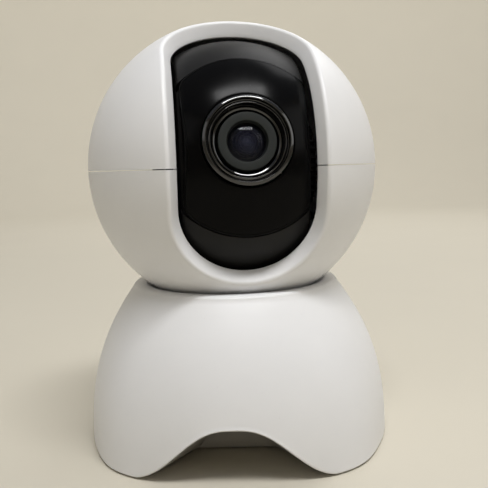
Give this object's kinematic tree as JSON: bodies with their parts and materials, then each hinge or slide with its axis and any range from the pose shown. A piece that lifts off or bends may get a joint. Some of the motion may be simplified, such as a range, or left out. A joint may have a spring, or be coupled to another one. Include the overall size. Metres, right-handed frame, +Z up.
{
  "type": "baby monitor camera",
  "caption": "Pan-tilt baby monitor camera: a white ball head turning on a flared round base, with a dark lens drum that tilts in a slot of the head.",
  "frame": {"origin": "on the pan axis, at the face the camera rests on", "axes": "+Z up along the pan axis; the base's front arch faces -Y, and the head is turned 9.1 degrees towards +X at rest"},
  "size_m": [0.0804, 0.0786, 0.1095],
  "materials": {
    "shell": "white satin moulded plastic",
    "graphite": "matte charcoal moulded plastic",
    "gloss_panel": "deep black gloss",
    "lens_glass": "coated lens glass",
    "lamp_glass": "dark tinted epoxy",
    "rubber": "grey rubber",
    "moulding": "warm grey moulded plastic",
    "gear_plastic": "acetal",
    "steel": "zinc-plated steel",
    "heat_spreader": "cast fins",
    "circuit_board": "green solder mask",
    "component": "black moulded plastic"
  },
  "bodies": {
    "base": {"base_shell": "shell", "bottom_cover": "moulding", "foot_disc": "rubber", "turntable_washer": "gear_plastic", "pan_motor": "steel", "pan_motor_screw_1": "steel", "pan_motor_screw_2": "steel", "power_board": "circuit_board", "power_socket": "steel", "reset_switch": "component", "speaker": "component", "cover_screw_1": "steel", "cover_screw_2": "steel", "cover_screw_3": "steel", "cover_screw_4": "steel"},
    "reset_button": {"reset_button": "rubber"},
    "pan_pinion": {"pan_pinion": "gear_plastic"},
    "head": {"head_upper_shell": "shell", "head_lower_shell": "shell", "yoke": "graphite", "pan_hub": "gear_plastic", "pan_gear": "gear_plastic", "hub_screw_1": "steel", "hub_screw_2": "steel", "hub_screw_3": "steel", "tilt_motor": "steel", "tilt_motor_screw_1": "steel", "tilt_motor_screw_2": "steel", "shell_screw_right": "steel", "shell_screw_left": "steel", "yoke_screw_right": "steel", "yoke_screw_left": "steel", "wifi_antenna": "circuit_board", "microphone": "component"},
    "tilt_pinion": {"tilt_pinion": "gear_plastic"},
    "lens_drum": {"drum_housing": "graphite", "drum_rear_cover": "graphite", "front_panel": "gloss_panel", "lens_bezel": "gloss_panel", "lens_barrel": "component", "front_lens": "lens_glass", "inner_lens": "lens_glass", "lens_holder": "component", "lamp_board": "circuit_board", "infrared_lamp_1": "lamp_glass", "infrared_lamp_2": "lamp_glass", "infrared_lamp_3": "lamp_glass", "infrared_lamp_4": "lamp_glass", "infrared_lamp_5": "lamp_glass", "light_sensor": "lamp_glass", "image_sensor": "lamp_glass", "sensor_board": "circuit_board", "board_screw_1": "steel", "board_screw_2": "steel", "main_board": "circuit_board", "heat_spreader": "heat_spreader", "card_slot": "steel", "tilt_shaft_right": "steel", "tilt_shaft_left": "steel", "tilt_gear": "gear_plastic"}
  },
  "joints": [
    {"name": "head_pan", "type": "hinge", "parent": "base", "child": "head", "pos_m": [0, 0, 0.0715], "axis": [0, 0, 1], "range_deg": [-184, 166]},
    {"name": "lens_tilt", "type": "hinge", "parent": "head", "child": "lens_drum", "pos_m": [0, 0, 0.0715], "axis": [-0.9874, -0.1582, 0], "range_deg": [-35, 50]},
    {"name": "pan_pinion_spin", "type": "hinge", "parent": "base", "child": "pan_pinion", "pos_m": [0.02, 0, 0.0294], "axis": [0, 0, 1], "range_deg": [-670, 740]},
    {"name": "tilt_pinion_spin", "type": "hinge", "parent": "head", "child": "tilt_pinion", "pos_m": [0.01724, 0.01694, 0.0715], "axis": [-0.9874, -0.1582, 0], "range_deg": [-155, 110]},
    {"name": "reset_press", "type": "slide", "parent": "base", "child": "reset_button", "axis": [0, -1, 0], "range_m": [0, 0.0005], "stiffness_N_per_m": 400}
  ],
  "couplings": [
    {"joint": "pan_pinion_spin", "follows": "head_pan", "ratio": -4},
    {"joint": "tilt_pinion_spin", "follows": "lens_tilt", "ratio": -3}
  ]
}
